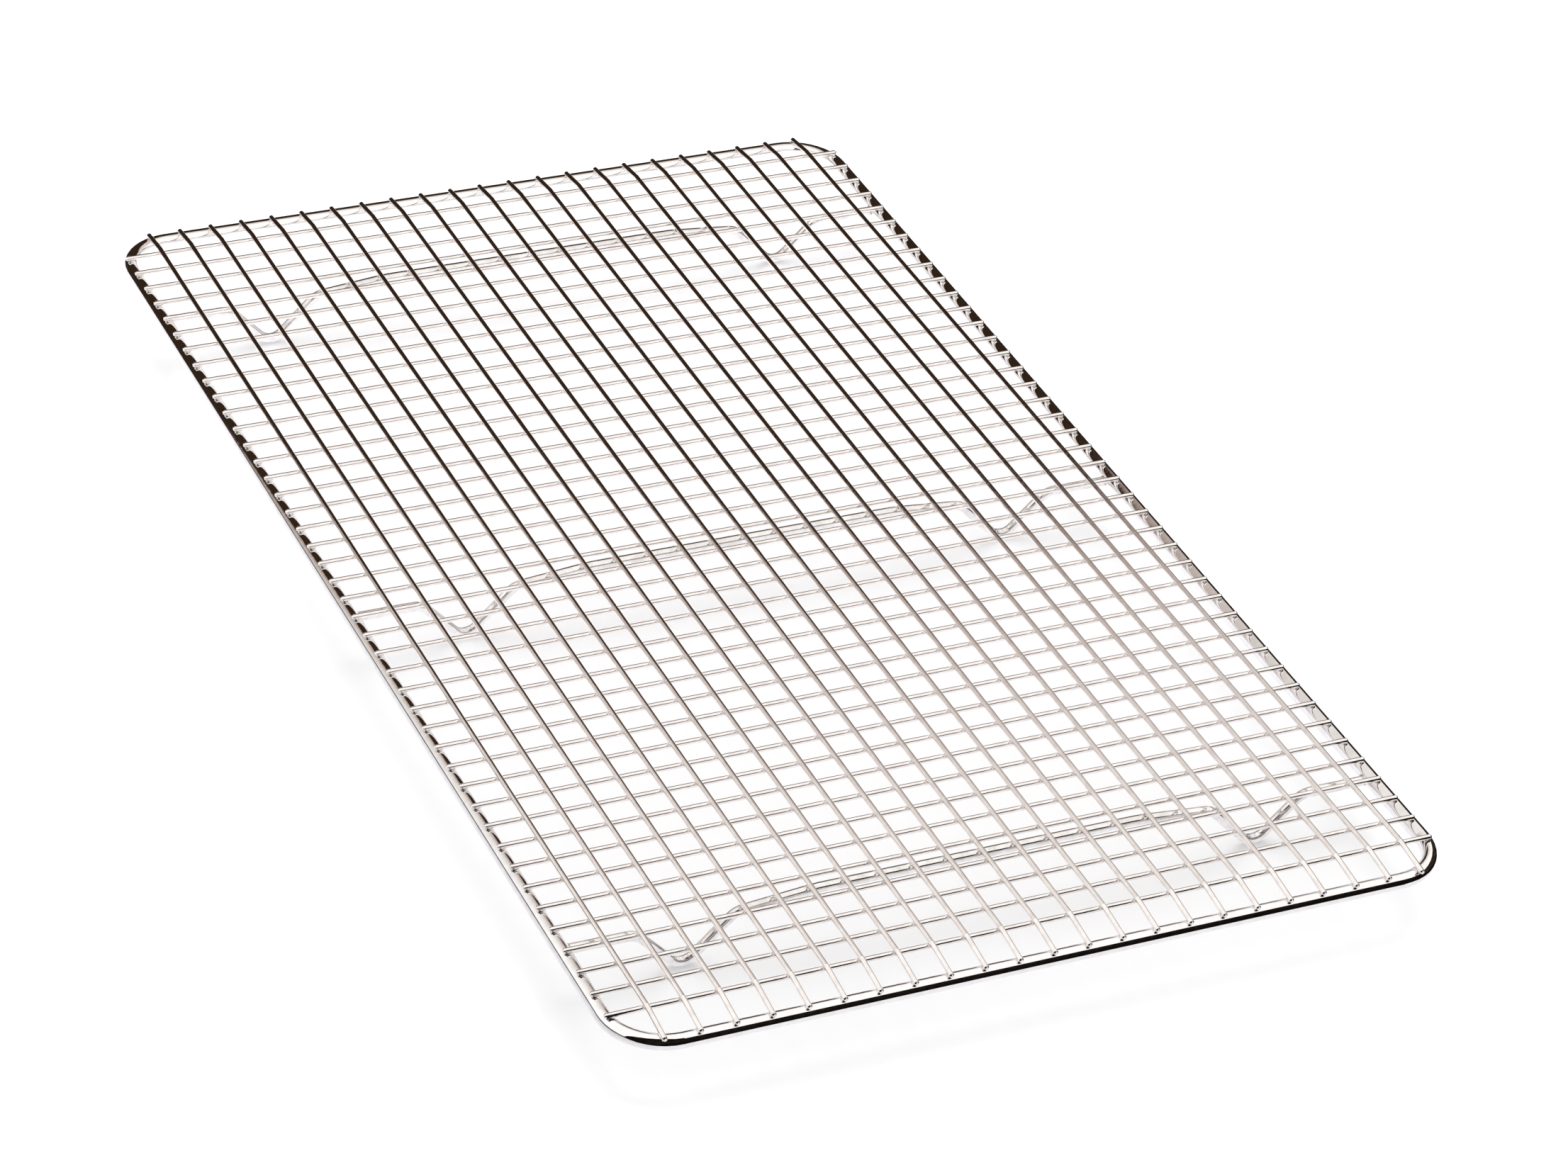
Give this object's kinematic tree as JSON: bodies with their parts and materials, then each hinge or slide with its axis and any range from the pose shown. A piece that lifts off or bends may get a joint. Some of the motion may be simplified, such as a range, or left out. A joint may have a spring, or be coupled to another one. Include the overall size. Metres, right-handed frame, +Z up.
{
  "type": "cooling rack",
  "caption": "Rectangular wire cooling rack: a thick perimeter wire around a fine welded grid, standing low on the V bends of crosswise foot wires.",
  "frame": {"origin": "on the surface the rack stands on, under the middle of the rack", "axes": "+Y along the rack's length, +X across it, +Z up from the feet to the cooling surface"},
  "size_m": [0.254, 0.432, 0.02],
  "materials": {
    "frame_chrome": "bright chrome plate on drawn steel wire",
    "grid_chrome": "bright chrome plate on thin drawn steel wire",
    "foot_chrome": "bright chrome plate on bent steel wire"
  },
  "bodies": {
    "root": {"perimeter_frame": "frame_chrome", "long_wire_01": "grid_chrome", "long_wire_02": "grid_chrome", "long_wire_03": "grid_chrome", "long_wire_04": "grid_chrome", "long_wire_05": "grid_chrome", "long_wire_06": "grid_chrome", "long_wire_07": "grid_chrome", "long_wire_08": "grid_chrome", "long_wire_09": "grid_chrome", "long_wire_10": "grid_chrome", "long_wire_11": "grid_chrome", "long_wire_12": "grid_chrome", "long_wire_13": "grid_chrome", "long_wire_14": "grid_chrome", "long_wire_15": "grid_chrome", "long_wire_16": "grid_chrome", "long_wire_17": "grid_chrome", "long_wire_18": "grid_chrome", "long_wire_19": "grid_chrome", "long_wire_20": "grid_chrome", "long_wire_21": "grid_chrome", "long_wire_22": "grid_chrome", "long_wire_23": "grid_chrome", "cross_wires_01_02": "grid_chrome", "cross_wires_03_04": "grid_chrome", "cross_wires_05_06": "grid_chrome", "cross_wires_07_08": "grid_chrome", "cross_wires_09_10": "grid_chrome", "cross_wires_11_12": "grid_chrome", "cross_wires_13_14": "grid_chrome", "cross_wires_15_16": "grid_chrome", "cross_wires_17_18": "grid_chrome", "cross_wires_19_20": "grid_chrome", "cross_wires_21_22": "grid_chrome", "cross_wires_23_24": "grid_chrome", "cross_wires_25_26": "grid_chrome", "cross_wires_27_28": "grid_chrome", "cross_wires_29_30": "grid_chrome", "cross_wires_31_32": "grid_chrome", "cross_wires_33_34": "grid_chrome", "cross_wires_35_36": "grid_chrome", "cross_wires_37_38": "grid_chrome", "cross_wires_39_40": "grid_chrome", "cross_wires_41_42": "grid_chrome", "cross_wire_43": "grid_chrome", "foot_wire_front": "foot_chrome", "foot_wire_middle": "foot_chrome", "foot_wire_back": "foot_chrome"}
  },
  "joints": []
}
